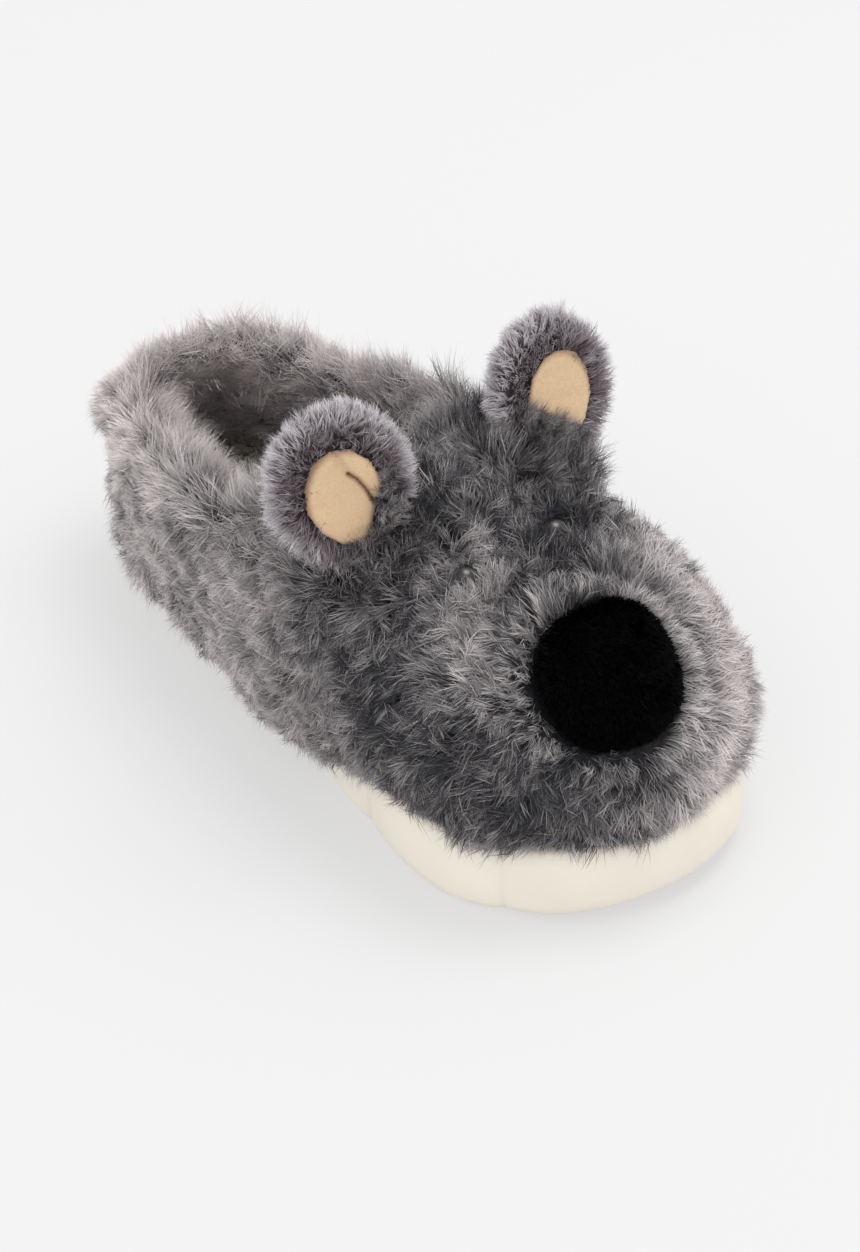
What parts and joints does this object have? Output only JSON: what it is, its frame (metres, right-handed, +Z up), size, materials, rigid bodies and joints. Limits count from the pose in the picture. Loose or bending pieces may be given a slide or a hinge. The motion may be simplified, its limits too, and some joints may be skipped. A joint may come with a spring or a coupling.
{
  "type": "novelty plush slipper",
  "caption": "Grey faux-fur novelty slipper with an animal face, round ears, black plush nose and a scalloped cream foam sole; wearer's right shoe.",
  "frame": {"origin": "on the floor under the middle of the slipper's overall box", "axes": "+Y from heel to toe, +X to the outer side of the wearer's right foot, +Z up from the floor the slipper stands on"},
  "size_m": [0.1332, 0.2742, 0.1464],
  "materials": {
    "sole_foam": "matte moulded EVA",
    "lining_plush": "soft plush",
    "body_fur": "deep pile faux fur, charcoal roots and light grey tips",
    "ear_fur": "deep pile faux fur, pale rim",
    "ear_velour": "short velour",
    "nose_pile": "short dense pile",
    "eye_bead": "polished"
  },
  "bodies": {
    "root": {"sole": "sole_foam", "insole": "lining_plush", "upper": "body_fur", "ear_left": "ear_fur", "ear_right": "ear_fur", "ear_lining_left": "ear_velour", "ear_lining_right": "ear_velour", "nose": "nose_pile", "eye_left": "eye_bead", "eye_right": "eye_bead"}
  },
  "joints": []
}
